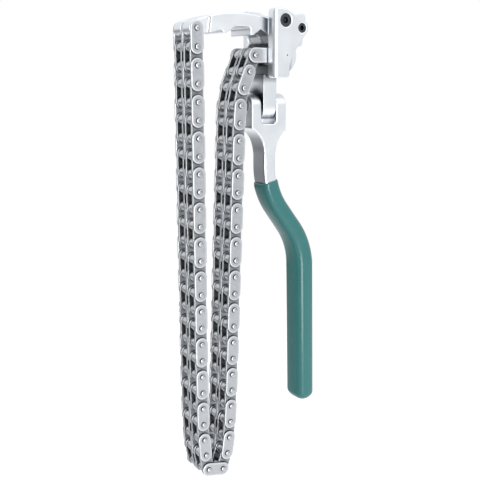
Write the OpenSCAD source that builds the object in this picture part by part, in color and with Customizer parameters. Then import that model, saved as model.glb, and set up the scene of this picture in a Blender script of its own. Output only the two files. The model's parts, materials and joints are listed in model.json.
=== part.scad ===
// Chain oil filter wrench. A loop of two-row roller chain hangs between the tip of a
// jaw arm and a long anchor link in the slot of a forged head. A cranked handle with a
// dipped grip swings on the tongue under the head.
// Millimetres, X to the right, Y away from the viewer, Z up. The origin is on the outer
// face of the rear cheek, on the tongue's centreline and level with the anchor pin.

/* [Chain] */
// Distance between neighbouring pins of the chain
pitch = 9.525; // [8:0.005:12]
// Distance between the middles of the two rows
row_pitch = 10.24; // [9.6:0.01:13]
// Height of the link plates
plate_h = 7.7; // [7:0.1:8.6]
// Thickness of the outer link plates
outer_plate_t = 1.0; // [0.8:0.05:1.6]
// Thickness of the inner link plates
inner_plate_t = 1.2; // [0.8:0.05:1.5]
// Clear width between the inner plates of one row
inner_w = 5.72; // [5:0.02:6.2]
// Diameter of the rollers
roller_d = 6.35; // [5.8:0.05:6.9]
// Outer diameter of the bushes
bush_d = 4.7; // [4.2:0.05:5.2]
// Diameter of the chain pins
pin_d = 3.28; // [2.8:0.02:3.6]
// How far the riveted pin ends stand proud of the outer plates
pin_stand = 1.1; // [0.6:0.05:1.6]
// Radial play of a pin in its bush
pin_play = 0.06; // [0.03:0.01:0.12]
// Radial play of a pin in the bush where the loop is closed
closing_play = 0.2; // [0.1:0.01:0.25]
// Radial play of a roller on its bush
roller_play = 0.08; // [0.04:0.01:0.15]
// Side play between the plates of neighbouring links
side_play = 0.12; // [0.08:0.01:0.3]

/* [Hang of the chain] */
// Lean of the right strand from the vertical, in degrees
right_lean = 2; // [0:0.1:4]
// Extra slant of the right strand just below the head, in degrees
shoulder_slant = 20.5; // [10:0.5:26]
// Extra slant of the lowest link of the right strand, in degrees
right_foot = 16; // [8:0.5:20]
// Lean of the left strand from the vertical, in degrees
left_lean = 0.4; // [0:0.1:2]
// Extra slant of the lowest link of the left strand, in degrees
left_foot = 10; // [5:0.5:14]
// Rise of the bottom link towards the left strand, in degrees
bottom_rise = 10; // [4:0.5:14]

/* [Anchor link] */
// Distance between the two pin holes of the anchor link
anchor_len = 16.1; // [14:0.1:19]
// Height of the anchor link's plates
anchor_h = 8.2; // [7.6:0.1:8.6]
// Diameter of the anchor pin
anchor_pin_d = 4; // [3:0.1:4.6]
// Diameter of the centre marks in the anchor pin's ends
mark_d = 0.9; // [0.5:0.1:1.4]

/* [Head] */
// Thickness of each cheek
cheek_t = 6.4; // [5.4:0.1:9]
// Side play of the anchor link in the slot between the cheeks
slot_play = 0.35; // [0.15:0.05:0.8]
// Distance from the tongue's centreline to the left edge of the cheeks
cheek_left = 3.4; // [2.8:0.1:4.4]
// Height of the cheeks' top over the anchor pin
cheek_top = 24.9; // [23.8:0.1:28]
// Depth of the cheeks' lower edge under the anchor pin
cheek_bottom = 12.3; // [11:0.1:15]
// Width of the cheeks at their lower edge
cheek_foot_w = 10.1; // [9.4:0.1:11.5]
// Radius of the rounded vertical edges at the mouth of the slot
mouth_r = 2.4; // [1:0.1:3]
// Radius of the cheeks' corners
cheek_corner_r = 2.2; // [1:0.1:3]
// Distance from the tongue's centreline to the anchor pin
anchor_x = 5; // [4.4:0.1:5.4]
// Outer radius of the back wall round the anchor pin
wall_r = 10.4; // [9:0.1:11.2]
// Inner radius of the back wall round the anchor pin
wall_bore_r = 6.2; // [5:0.1:7]
// Height of the back wall's upper end over the anchor pin
wall_top = 3.1; // [1:0.1:3.4]
// Radius of the rounded corner round the set screw
boss_r = 4; // [3.6:0.1:4.6]
// Fall of the cheeks' top from its left end to the cap screw
crown_drop = 0.4; // [0.1:0.1:1]
// Width of the flank over the foot, level with the anchor pin
flank_w = 1.9; // [1:0.1:2.6]
// Depth of the flank's lower end under the anchor pin
flank_drop = 5.6; // [4:0.1:7]
// Room under the anchor link in the slot
floor_room = 1.5; // [1:0.1:2.5]

/* [Screws] */
// Distance from the tongue's centreline to the cap screw
cap_x = 4; // [3:0.1:5.5]
// Height of the cap screw over the anchor pin
cap_z = 18.5; // [17:0.1:19.4]
// Diameter of the cap screw's shank
cap_d = 4; // [3:0.1:4.6]
// Diameter of the cap screw's head
cap_head_d = 7; // [6:0.1:7.6]
// Height of the cap screw's head
cap_head_h = 4; // [3:0.1:4.4]
// Width across flats of the cap screw's socket
cap_key = 3.2; // [2.4:0.1:3.6]
// Depth of the cap screw's socket
cap_key_depth = 2.4; // [1.6:0.1:2.8]
// Distance from the tongue's centreline to the set screw
set_x = 14.8; // [14:0.1:15.6]
// Height of the set screw over the anchor pin
set_z = 14.7; // [13.6:0.1:15.6]
// Diameter of the set screw
set_d = 5; // [4:0.1:5.4]
// Width across flats of the set screw's socket
set_key = 2.5; // [2:0.1:3]
// Depth of the set screw's socket
set_key_depth = 2.5; // [1.6:0.1:3.4]
// Depth of the screws under the front face
screw_sink = 0.5; // [0.2:0.1:1]
// Radial play round a screw
screw_play = 0.05; // [0.02:0.01:0.15]
// Thickness of the tail over the cap screw
screw_wall = 1.2; // [0.8:0.1:2]
// Depth of the solid metal left behind the screws' ends
screw_floor = 1.6; // [1:0.1:2.4]

/* [Jaw arm] */
// Radius of the two round lobes at the tip
lobe_r = 4.1; // [3.7:0.1:4.5]
// Radius of the arm's arched top
arch_r = 71; // [60:1:100]
// Distance from the arm's middle to the crest of its arched top
arch_shift = 3; // [0:0.1:5]
// Depth of the arm's underside below the tip's pin
under_drop = 2.2; // [1.6:0.1:2.8]
// Distance from the tip's pin to the step where the arm widens
step_x = 7; // [6.2:0.1:8]
// Lean of the step over its height
step_lean = 1.2; // [0.4:0.1:2]
// Room round the chain's middle plate in the groove between the lobes
groove_room = 0.8; // [0.4:0.1:1.2]
// Width of the shallow relief behind the tip
relief_w = 7.4; // [5:0.1:8.4]
// Depth of the shallow relief behind the tip
relief_d = 1.8; // [1:0.1:2.6]
// Run of the steep flank at the right of the relief
relief_run = 1.3; // [0.6:0.1:3]
// Width of the land between the relief and the hook recess
land_w = 1.8; // [1:0.1:2.6]
// Width of the hook recess under the arm
hook_w = 15; // [12:0.1:16]
// Depth of the hook recess under the arm
hook_d = 3.6; // [2.6:0.1:4.2]
// Distance from the cheeks' left edge to the steep wall of the hook recess
hook_x = 11.1; // [10.2:0.1:12]
// Length of the ramp on the left of the hook recess
hook_ramp = 5.7; // [4:0.1:7]
// Radius of the hook recess at its steep wall
hook_r = 1.6; // [0.8:0.1:2.2]
// Width of the tooth's flat end beside the hook recess
tooth_w = 1.8; // [1:0.1:2.4]
// Depth of the tooth's end below the arm's underside
tooth_drop = 0.8; // [0.3:0.1:1.4]
// Distance from the tooth to the crest of the notch behind it
notch_run = 4.8; // [4:0.1:5.6]
// Height of the notch's crest over the arm's underside
notch_h = 2.4; // [1.6:0.1:3]
// Height of the arm at the head over its underside
root_h = 7.8; // [7:0.1:8.4]
// Distance from the cheeks' left edge to the upper lip of the tail's blocks
lip_x = 1.2; // [0.6:0.1:1.8]
// Depth of the lip below the arm's underside
lip_drop = 1; // [0.5:0.1:1.5]
// Set-back of the blocks' lower edge from the lip
block_slant = 1.8; // [1:0.1:2.6]
// Height of the blocks' underside over the bottom of the tail
block_lift = 1.9; // [1:0.1:2.6]
// Length of the blocks' underside
block_len = 4.2; // [3:0.1:6]
// Depth of the groove between the tail's two blocks
block_groove = 3; // [1.5:0.1:4]
// Distance from the tongue's centreline to the tail's end
tail_x = 21.4; // [20.4:0.1:24]
// Height of the tail's upper corner over the anchor pin
tail_top = 23; // [22:0.1:24]
// Lean of the tail's end over its height
tail_lean = 2; // [1:0.1:3]
// Radius of the tail's corners
tail_r = 2.6; // [1.6:0.1:3]
// Gap between the tail and the anchor link
tail_gap = 0.4; // [0.3:0.05:0.6]

/* [Hinge] */
// Width of the tongue
tongue_w = 8.6; // [7:0.1:10]
// Depth of the tongue from front to back
tongue_d = 15.2; // [13:0.1:17]
// Distance from the anchor pin down to the hinge pin
hinge_drop = 27.5; // [26:0.1:32]
// Diameter of the hinge pin
hinge_pin_d = 6; // [4:0.1:7]
// Radial play of the hinge pin in the tongue
hinge_play = 0.06; // [0.03:0.01:0.12]
// Side play of the tongue between the tines
tongue_play = 0.6; // [0.2:0.05:1]

/* [Handle] */
// Width of the fork over both tines
fork_w = 22.8; // [20:0.1:25]
// Depth of the fork from front to back
fork_d = 14; // [12.8:0.1:15]
// Gap between the tongue's round end and the floor of the fork
floor_gap = 2.3; // [1:0.1:3]
// Radius of the tines' outer corners
tine_r = 2.4; // [1:0.1:2.8]
// Radius of the corners at the floor of the fork
fork_floor_r = 2; // [1:0.1:3]
// Distance from the fork's floor down to the start of its taper
shoulder_drop = 5; // [3:0.1:7]
// Radius of the hollow between the fork and the bar
hollow_r = 16; // [14:0.5:18]
// Distance from the hinge pin down to the lower end of the hollow
neck_drop = 26.5; // [25:0.1:30]
// Offset of the bar to the right of the fork's middle
bar_x = 1.2; // [0:0.1:2]
// Width of the steel bar
bar_w = 7.8; // [7:0.1:9]
// Depth of the steel bar
bar_d = 12.8; // [11:0.1:14]
// Radius of the bar's edges
bar_r = 1.2; // [0.6:0.1:2]
// Length of straight bar between the fork and the crank
neck_len = 7.5; // [4:0.1:12]
// Radius of both bends of the crank
bend_r = 42; // [34:1:52]
// Angle of the crank
bend_angle = 37; // [28:0.5:44]
// Length of the straight run between the bends
bend_run = 14.5; // [8:0.5:24]
// Lean of the straight grip, in degrees
grip_lean = 1.3; // [0.5:0.1:3]
// Length of the straight grip
grip_len = 84.6; // [60:0.1:110]

/* [Grip] */
// Thickness of the dipped coat
coat_t = 1.2; // [0.8:0.1:2]
// Thickness of the coat below the end of the bar
end_wall = 2.4; // [1.6:0.1:4]
// Growth of the coat's thickness from the rim to the straight grip
grip_swell = 0.9; // [0:0.1:1.4]
// Radius of the grip's edges
grip_r = 3.8; // [2:0.1:4.2]
// Length of bare bar between the crank's start and the grip's rim
bare_len = 8.8; // [5:0.1:12]
// Radius of the grip's rounded end
grip_end_r = 4.4; // [3:0.1:5]

/* [Hidden] */
$fn = 72;
// Links in each strand, counted without the bottom link and the anchor link
right_links = 25;
left_links = right_links + 1;
chain_links = right_links + 1 + left_links;
half_links = chain_links / 2;

function two_digits(n) = str(n < 10 ? "0" : "", n);

// Half widths across the chain, from its middle plane outwards
row_y = row_pitch / 2;
row_half = inner_w / 2 + inner_plate_t;
rows_gap = row_y - row_half;
mid_half = rows_gap - side_play;
rows_half = row_y + row_half;
outer_in = rows_half + side_play;
outer_out = outer_in + outer_plate_t;
pin_half = outer_out + pin_stand;
pin_bevel = pin_d / 14;

// Head
slot_half = outer_out + slot_play;
head_half = slot_half + cheek_t;
cheek_foot = cheek_foot_w - cheek_left;
head_w = cheek_left + set_x + 2 * boss_r;
head_h = cheek_bottom + cheek_top;
set_at = [set_x, set_z];
cap_at = [cap_x, cap_z];
anchor_at = [anchor_x, 0];
press_play = 0.02;
// How far a cut runs past the metal, and how far joined forms run into each other
past = 1;
root = 2;
// Depth to which the cheeks' straight edges cut into the corner round the set screw
boss_cut = 0.06;

// Heading of link k, in degrees from straight down towards +X, from the anchor link's
// outer pin down the right strand, along the bottom and up the left strand
function heading(k) =
    k < right_links
        ? -right_lean - shoulder_slant / (1 + pow(k / 2, 6)) - right_foot * pow(0.4, right_links - 1 - k)
    : k == right_links
        ? -90 - bottom_rise
        : -180 + left_lean + left_foot * pow(0.5, k - right_links - 1);
function step_of(k) = pitch * [sin(heading(k)), -cos(heading(k))];

// Pins of the chain in the XZ plane, ending at the tip of the jaw arm
pins = [
    for (k = 0, q = anchor_at - [anchor_len, 0]; k <= chain_links; q = q + step_of(k), k = k + 1) q
];
tip = pins[chain_links];

// Jaw arm
under_z = tip.y - under_drop;
hook_right = -cheek_left - hook_x;
hook_left = hook_right - hook_w;
relief_right = hook_left - land_w;
relief_left = relief_right - relief_w;
arch_x = (tip.x - cheek_left) / 2 + arch_shift;
arch_at = [arch_x, tip.y + lobe_r - sqrt(pow(arch_r, 2) - pow(tip.x - arch_x, 2))];
tail_bottom = anchor_h / 2 + tail_gap;
tooth_end = [hook_right + tooth_w, under_z - tooth_drop];
notch_top = [tooth_end.x + notch_run, under_z + notch_h];
lip = [lip_x - cheek_left, under_z - lip_drop];
block_foot = [lip.x + block_slant, tail_bottom + block_lift];

// Hinge and handle
hinge_z = -hinge_drop;
tongue_end_r = tongue_d / 2;
fork_slot_w = tongue_w + 2 * tongue_play;
fork_floor = hinge_z - tongue_end_r - floor_gap;
fork_top = hinge_z + fork_d / 2;
neck_z = hinge_z - neck_drop;
bend_z = neck_z - neck_len;
rim_z = bend_z - bare_len;
run_from = bend_r * [1 - cos(bend_angle), -sin(bend_angle)];
run_to = run_from + bend_run * [sin(bend_angle), -cos(bend_angle)];
second_bend = run_to - bend_r * [cos(bend_angle), sin(bend_angle)];
// Points in a quarter turn of a corner, and places along each bend and the rounded end
corner_steps = 5;
bend_steps = 7;
end_steps = 6;
// Least flat left between the grip's rounded edges
edge_flat = 0.3;
grip_from = second_bend + bend_r * [cos(grip_lean), sin(grip_lean)];

// Puts the middle plane of the tool in front of the origin on the rear cheek
module in_frame() {
    translate([0, -head_half, 0]) children();
}

// Extrudes an outline drawn in X and Z from one Y to another
module across(y0, y1) {
    translate([0, y1, 0]) rotate([90, 0, 0]) linear_extrude(y1 - y0) children();
}

// Extrudes an outline drawn in Y and Z from one X to another
module along(x0, x1) {
    translate([x0, 0, 0]) rotate([90, 0, 90]) linear_extrude(x1 - x0) children();
}

// Round bar along Y
module rod_y(at, y0, y1, d) {
    translate([at.x, y1, at.y]) rotate([90, 0, 0]) cylinder(d = d, h = y1 - y0);
}

// Link plate outline with round ends about both holes
module plate_outline(length, height) {
    circle(d = height);
    translate([length, 0]) circle(d = height);
    translate([0, -height / 2]) square([length, height]);
}

// Outer plates and the single plate between the rows
module outer_plates(length, height) {
    across(-outer_out, -outer_in) plate_outline(length, height);
    across(-mid_half, mid_half) plate_outline(length, height);
    across(outer_in, outer_out) plate_outline(length, height);
}

// Chain pin with its riveted ends bevelled
module chain_pin(at) {
    rod_y(at, -pin_half + pin_bevel, pin_half - pin_bevel, pin_d);
    for (side = [-1, 1]) {
        translate([at.x, side * (pin_half - pin_bevel), at.y])
            rotate([-90 * side, 0, 0])
                cylinder(d1 = pin_d, d2 = pin_d - 2 * pin_bevel, h = pin_bevel);
    }
}

// Two plates of one row held apart by two bushes
module inner_row(first_play, last_play) {
    difference() {
        union() {
            across(-row_half, -inner_w / 2) plate_outline(pitch, plate_h);
            across(inner_w / 2, row_half) plate_outline(pitch, plate_h);
            rod_y([0, 0], -row_half, row_half, bush_d);
            rod_y([pitch, 0], -row_half, row_half, bush_d);
        }
        rod_y([0, 0], -row_half - past, row_half + past, pin_d + 2 * first_play);
        rod_y([pitch, 0], -row_half - past, row_half + past, pin_d + 2 * last_play);
    }
}

// Loose roller on a bush
module roller(at) {
    half = inner_w / 2 - side_play;
    difference() {
        rod_y(at, -half, half, roller_d);
        rod_y(at, -half - past, half + past, bush_d + 2 * roller_play);
    }
}

// Lays a link between its two pins
module on_pins(k) {
    run = pins[k + 1] - pins[k];
    translate([pins[k].x, 0, pins[k].y]) rotate([0, -atan2(run.y, run.x), 0]) children();
}

// Outer link n, counted from the jaw arm's tip
module outer_link(n) {
    color("silver") in_frame() on_pins(chain_links + 1 - 2 * n) {
        outer_plates(pitch, plate_h);
        chain_pin([0, 0]);
        chain_pin([pitch, 0]);
    }
}

// Inner link n, counted from the jaw arm's tip, with its rollers
module inner_link(n) {
    k = chain_links - 2 * n;
    color("gray") in_frame() on_pins(k) for (side = [-1, 1]) {
        translate([0, side * row_y, 0]) {
            inner_row(pin_play, k + 1 == right_links ? closing_play : pin_play);
            roller([0, 0]);
            roller([pitch, 0]);
        }
    }
}

// Long end link whose inner end turns on the anchor pin in the head
module anchor_link() {
    color("lightgray") in_frame() translate([anchor_x, 0, 0]) rotate([0, 180, 0]) difference() {
        union() {
            outer_plates(anchor_len, anchor_h);
            chain_pin([anchor_len, 0]);
        }
        rod_y([0, 0], -pin_half, pin_half, anchor_pin_d + 2 * pin_play);
    }
}

// Point where a line from p touches a circle about c, on its left (1) or right (-1)
function touch(p, c, r, side) =
    let (run = c - p)
    let (turn = atan2(run.y, run.x) + side * asin(r / norm(run)))
    p + sqrt(run * run - r * r) * [cos(turn), sin(turn)];

// Side outline of a cheek
module cheek_outline() {
    r = cheek_corner_r;
    crown = [cap_x, cheek_top - crown_drop];
    flank = [cheek_foot + flank_w, 0];
    polygon([
        [-cheek_left, -cheek_bottom + r],
        [-cheek_left, cheek_top - r],
        [-cheek_left + r, cheek_top],
        crown,
        touch(crown, set_at, boss_r - boss_cut, 1),
        touch(flank, set_at, boss_r - boss_cut, -1),
        flank,
        [cheek_foot, -flank_drop],
        [cheek_foot, -cheek_bottom + r],
        [cheek_foot - r, -cheek_bottom],
        [-cheek_left + r, -cheek_bottom]
    ]);
    translate(set_at) circle(r = boss_r);
    translate([-cheek_left + r, cheek_top - r]) circle(r = r);
    translate([cheek_foot - r, -cheek_bottom + r]) circle(r = r);
    translate([-cheek_left + r, -cheek_bottom + r]) circle(r = r);
}

// Outline of the metal between the cheeks: the slot's floor and the back wall
module core_outline() {
    difference() {
        union() {
            intersection() {
                cheek_outline();
                translate([-cheek_left, -cheek_bottom]) square([cheek_left + anchor_x, cheek_bottom]);
            }
            intersection() {
                translate(anchor_at) circle(r = wall_r);
                translate([anchor_x, -cheek_bottom]) square([wall_r, cheek_bottom + wall_top]);
            }
        }
        translate(anchor_at) circle(r = wall_bore_r);
        translate([-cheek_left - past, -anchor_h / 2 - floor_room])
            square([cheek_left + anchor_x + past, cheek_top]);
    }
}

// Head: two cheeks, the metal between them and the tongue
module head() {
    bore_d = anchor_pin_d + 2 * press_play;
    color("gainsboro") in_frame() difference() {
        union() {
            intersection() {
                union() {
                    across(-head_half, -slot_half) cheek_outline();
                    across(slot_half, head_half) cheek_outline();
                }
                // plan of the head, with the mouth's edges rounded
                translate([0, 0, -cheek_bottom - past]) linear_extrude(head_h + 2 * past) union() {
                    translate([-cheek_left + mouth_r, -head_half]) square([head_w, 2 * head_half]);
                    translate([-cheek_left, -head_half + mouth_r]) square([head_w, 2 * (head_half - mouth_r)]);
                    for (side = [-1, 1]) {
                        translate([-cheek_left + mouth_r, side * (head_half - mouth_r)]) circle(r = mouth_r);
                    }
                }
            }
            across(-slot_half, slot_half) core_outline();
            along(-tongue_w / 2, tongue_w / 2) {
                translate([0, hinge_z]) circle(r = tongue_end_r);
                translate([-tongue_end_r, hinge_z])
                    square([tongue_d, hinge_drop - cheek_bottom + root]);
            }
        }
        rod_y(anchor_at, -head_half - past, head_half + past, bore_d);
        rod_y(cap_at, -head_half - past, head_half - screw_floor, cap_d + 2 * screw_play);
        rod_y(cap_at, -head_half - past, -head_half + screw_sink + cap_head_h, cap_head_d + 2 * screw_play);
        rod_y(set_at, -head_half - past, head_half - screw_floor, set_d + 2 * screw_play);
        translate([-tongue_w, 0, hinge_z]) rotate([0, 90, 0])
            cylinder(d = hinge_pin_d + 2 * hinge_play, h = 2 * tongue_w);
    }
}

// Side outline of the jaw arm without its tip lobe
module arm_outline() {
    difference() {
        union() {
            intersection() {
                translate(arch_at) circle(r = arch_r);
                translate([tip.x, under_z]) square([-tip.x - cheek_left + past, arch_r]);
            }
            // tooth between the hook recess and the head
            translate([hook_right, tooth_end.y]) square([tooth_w + notch_run, tooth_drop + hook_d]);
            tail_outline();
        }
        // relief: a long slope from the tip and a steep flank on the right
        polygon([
            [relief_left, under_z - past],
            [relief_left, under_z],
            [relief_right - relief_run, under_z + relief_d],
            [relief_right, under_z],
            [relief_right, under_z - past]
        ]);
        // hook recess: a ramp on the left and a steep wall with a round corner on the right
        polygon([
            [hook_left, under_z - past],
            [hook_left, under_z],
            [hook_left + hook_ramp, under_z + hook_d],
            [hook_right - hook_r, under_z + hook_d],
            [hook_right, under_z + hook_d - hook_r],
            [hook_right, under_z - past]
        ]);
        translate([hook_right - hook_r, under_z + hook_d - hook_r]) circle(r = hook_r);
        // notch between the tooth and the tail
        polygon([
            [tooth_end.x, tooth_end.y - past],
            tooth_end,
            notch_top,
            lip,
            [lip.x - past, lip.y - past]
        ]);
    }
}

// Tail of the jaw arm, which fills the slot between the cheeks
module tail_outline() {
    r = tail_r;
    polygon([
        [-cheek_left - root, lip.y],
        lip,
        block_foot,
        [block_foot.x + block_len, block_foot.y],
        [block_foot.x + block_len + block_lift, tail_bottom],
        [tail_x - tail_lean - r, tail_bottom],
        [tail_x - tail_lean, tail_bottom + r],
        [tail_x, tail_top - r],
        [tail_x - r, tail_top],
        [tail_x - 2 * r, tail_top],
        [cap_x, cap_z + cap_d / 2 + screw_wall],
        [-cheek_left, under_z + root_h],
        [-cheek_left - root, under_z + hook_d]
    ]);
    translate([tail_x - tail_lean - r, tail_bottom + r]) circle(r = r);
    translate([tail_x - r, tail_top - r]) circle(r = r);
}

// Jaw arm with a two-lobed tip for the chain and a tail that the screws hold
module jaw_arm() {
    groove_r = plate_h / 2 + groove_room;
    step_h = 2 * lobe_r;
    color("whitesmoke") in_frame() difference() {
        union() {
            across(-slot_half, slot_half) arm_outline();
            across(-rows_half, rows_half) translate(tip) circle(r = lobe_r);
        }
        // sides relieved at the tip for the outer plates
        for (side = [-1, 1]) {
            mid = side * (slot_half + past + rows_half) / 2;
            half = (slot_half + past - rows_half) / 2;
            across(mid - half, mid + half) polygon([
                [tip.x - lobe_r - past, under_z - lobe_r],
                [tip.x + step_x, under_z - lobe_r],
                [tip.x + step_x, under_z],
                [tip.x + step_x + step_lean, under_z + step_h],
                [tip.x - lobe_r - past, under_z + step_h]
            ]);
        }
        // groove between the lobes for the middle plate
        across(-rows_gap, rows_gap) {
            translate(tip) circle(r = groove_r);
            translate([tip.x - lobe_r - past, tip.y - groove_r]) square([lobe_r + past, 2 * groove_r]);
        }
        // groove that parts the tail into two blocks
        across(-rows_gap, rows_gap) polygon([
            [tooth_end.x + past, tooth_end.y - past],
            [tooth_end.x + past, under_z + hook_d],
            [lip.x + past, under_z + hook_d],
            [lip.x + block_groove, lip.y],
            [block_foot.x + block_groove, block_foot.y],
            [block_foot.x + block_groove, tail_bottom - past]
        ]);
        rod_y(tip, -slot_half, slot_half, pin_d + 2 * pin_play);
        rod_y(cap_at, -slot_half - past, slot_half + past, cap_d + 2 * screw_play);
        rod_y(set_at, -slot_half - past, slot_half + past, set_d + 2 * screw_play);
    }
}

// Cap screw and set screw that fasten the jaw arm in the head
module head_screws() {
    front = -head_half + screw_sink;
    color("dimgray") in_frame() {
        difference() {
            union() {
                rod_y(cap_at, front, front + cap_head_h, cap_head_d);
                rod_y(cap_at, front, head_half - screw_floor, cap_d);
            }
            translate([cap_x, front + cap_key_depth, cap_z]) rotate([90, 0, 0])
                cylinder(d = cap_key / cos(30), h = cap_key_depth + past, $fn = 6);
        }
        difference() {
            rod_y(set_at, front, head_half - screw_floor, set_d);
            translate([set_x, front + set_key_depth, set_z]) rotate([90, 0, 0])
                cylinder(d = set_key / cos(30), h = set_key_depth + past, $fn = 6);
        }
    }
}

// Pin that holds the anchor link, ground flush with both cheeks and centre-marked at its ends
module anchor_pin() {
    color("gray") in_frame() difference() {
        rod_y(anchor_at, -head_half, head_half, anchor_pin_d);
        for (side = [-1, 1]) {
            translate([anchor_x, side * head_half, 0]) rotate([90 * side, 0, 0])
                cylinder(d1 = mark_d, d2 = 0, h = mark_d / 2);
        }
    }
}

// Pin pressed into the tines, on which the handle swings
module hinge_pin() {
    color("gray") in_frame() translate([-fork_w / 2, 0, hinge_z]) rotate([0, 90, 0])
        cylinder(d = hinge_pin_d, h = fork_w);
}

// Corner points of a rectangle with rounded corners, about its middle
function bar_section(w, d, r) = [
    for (corner = [0:3], turn = [0:1:corner_steps])
        let (a = 90 * corner + 90 * turn / corner_steps)
        let (sx = corner == 0 || corner == 3 ? 1 : -1)
        let (sy = corner < 2 ? 1 : -1)
        [sx * (w / 2 - r) + r * cos(a), sy * (d / 2 - r) + r * sin(a)]
];

// Places along the crank, each as X, Z and heading from straight down, in degrees
crank_path = concat(
    [for (i = [0:1:bend_steps]) let (a = bend_angle * i / bend_steps)
        [bend_r * (1 - cos(a)), -bend_r * sin(a), a]],
    [for (i = [bend_steps:-1:0]) let (a = grip_lean + (bend_angle - grip_lean) * i / bend_steps)
        [second_bend.x + bend_r * cos(a), second_bend.y + bend_r * sin(a), a]]
);

// Place on the straight grip at a distance before its end
function near_end(left) = [
    grip_from.x + (grip_len - left) * sin(grip_lean),
    grip_from.y - (grip_len - left) * cos(grip_lean),
    grip_lean
];

// Sweeps a ring of section points through each place
module sweep(places, rings) {
    n = len(rings[0]);
    last = len(places) - 1;
    points = [
        for (i = [0:last], q = rings[i]) let (p = places[i])
            [p[0] + q[0] * cos(p[2]), q[1], p[1] + q[0] * sin(p[2])]
    ];
    sides = [
        for (i = [0:last - 1], j = [0:n - 1]) let (m = (j + 1) % n)
            each [[i * n + j, i * n + m, (i + 1) * n + m], [i * n + j, (i + 1) * n + m, (i + 1) * n + j]]
    ];
    ends = [[for (j = [n - 1:-1:0]) j], [for (j = [0:n - 1]) last * n + j]];
    polyhedron(points, concat(sides, ends), convexity = 6);
}

// Steel bar from inside the fork to its end under the grip's coat
module cranked_bar() {
    places = concat([[0, neck_len + root, 0]], crank_path, [near_end(end_wall)]);
    ring = bar_section(bar_w, bar_d, bar_r);
    translate([bar_x, 0, bend_z]) sweep(places, [for (p = places) ring]);
}

// Outside of the grip, which grows a little along the crank and rounds off at its end
module grip_body() {
    turns = [for (i = [0:end_steps]) 90 * i / end_steps];
    places = concat([[0, past, 0]], crank_path, [for (a = turns) near_end(grip_end_r * (1 - sin(a)))]);
    count = len(crank_path);
    grown = concat([0], [for (i = [0:count - 1]) grip_swell * i / (count - 1)], [for (a = turns) grip_swell]);
    drawn = concat([for (i = [0:count]) 0], [for (a = turns) grip_end_r * (1 - cos(a))]);
    rings = [
        for (i = [0:len(places) - 1]) let (t = 2 * (coat_t + grown[i] - drawn[i]))
            bar_section(bar_w + t, bar_d + t, min(grip_r, (bar_w + t) / 2 - edge_flat))
    ];
    translate([bar_x, 0, bend_z]) sweep(places, rings);
}

// Front outline of the fork
module fork_outline() {
    half = fork_w / 2;
    floor_r = fork_floor_r;
    difference() {
        union() {
            translate([-half, neck_z]) square([fork_w, fork_top - tine_r - neck_z]);
            translate([-half + tine_r, neck_z]) square([fork_w - 2 * tine_r, fork_top - neck_z]);
            for (side = [-1, 1]) {
                translate([side * (half - tine_r), fork_top - tine_r]) circle(r = tine_r);
            }
        }
        for (side = [-1, 1]) {
            translate([bar_x + side * (bar_w / 2 + hollow_r), neck_z]) circle(r = hollow_r);
        }
        translate([-fork_slot_w / 2, fork_floor + floor_r]) square([fork_slot_w, fork_top - fork_floor]);
        translate([-fork_slot_w / 2 + floor_r, fork_floor])
            square([fork_slot_w - 2 * floor_r, fork_top - fork_floor]);
        for (side = [-1, 1]) {
            translate([side * (fork_slot_w / 2 - floor_r), fork_floor + floor_r]) circle(r = floor_r);
        }
    }
}

// Handle: a fork, a neck and a cranked bar
module handle() {
    shoulder_z = fork_floor - shoulder_drop;
    color("gainsboro") in_frame() difference() {
        union() {
            intersection() {
                across(-fork_d, fork_d) fork_outline();
                along(-fork_w, fork_w) {
                    translate([0, hinge_z]) circle(d = fork_d);
                    polygon([
                        [-fork_d / 2, hinge_z],
                        [-fork_d / 2, shoulder_z],
                        [-bar_d / 2, neck_z],
                        [bar_d / 2, neck_z],
                        [fork_d / 2, shoulder_z],
                        [fork_d / 2, hinge_z]
                    ]);
                }
            }
            cranked_bar();
        }
        translate([-fork_w, 0, hinge_z]) rotate([0, 90, 0])
            cylinder(d = hinge_pin_d + 2 * press_play, h = 2 * fork_w);
    }
}

// Dipped grip over the cranked bar, cut level at its rim
module grip() {
    big = 3 * grip_len;
    color("seagreen") in_frame() difference() {
        grip_body();
        translate([-big / 2, -big / 2, rim_z]) cube(big);
        cranked_bar();
    }
}

head();
jaw_arm();
head_screws();
anchor_pin();
hinge_pin();
handle();
grip();
anchor_link();
for (n = [1:half_links]) {
    outer_link(n);
    inner_link(n);
}
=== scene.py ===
import json
import math

import bmesh
import bpy
import numpy as np
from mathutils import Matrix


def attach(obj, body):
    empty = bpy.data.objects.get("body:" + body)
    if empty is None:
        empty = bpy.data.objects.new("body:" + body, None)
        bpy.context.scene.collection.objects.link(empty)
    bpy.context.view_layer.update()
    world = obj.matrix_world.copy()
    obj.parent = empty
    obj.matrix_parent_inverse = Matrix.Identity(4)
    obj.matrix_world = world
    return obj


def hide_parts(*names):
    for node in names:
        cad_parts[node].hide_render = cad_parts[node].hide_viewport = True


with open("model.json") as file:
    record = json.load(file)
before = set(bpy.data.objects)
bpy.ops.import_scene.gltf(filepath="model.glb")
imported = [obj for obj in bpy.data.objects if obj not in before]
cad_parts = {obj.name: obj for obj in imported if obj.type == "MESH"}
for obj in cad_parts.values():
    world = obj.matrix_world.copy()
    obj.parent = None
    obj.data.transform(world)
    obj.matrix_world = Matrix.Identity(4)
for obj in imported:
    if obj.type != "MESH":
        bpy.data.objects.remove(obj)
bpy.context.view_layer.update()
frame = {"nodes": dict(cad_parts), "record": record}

# Head: a steel drop forging with two cheeks, a slot between them and a tongue below.
# It is linished, blasted fine and plated with satin chrome, so every edge is a little soft.
# The tool's sizes are in mm and its angles in degrees; MID_Y lies midway between the cheeks.
MM = 0.001
MID_Y = -17.05
MERGE = 0.002
ANCHOR_AT = (5.0, 0.0)
CRADLE_R = (4.7, 8.0)
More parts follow.
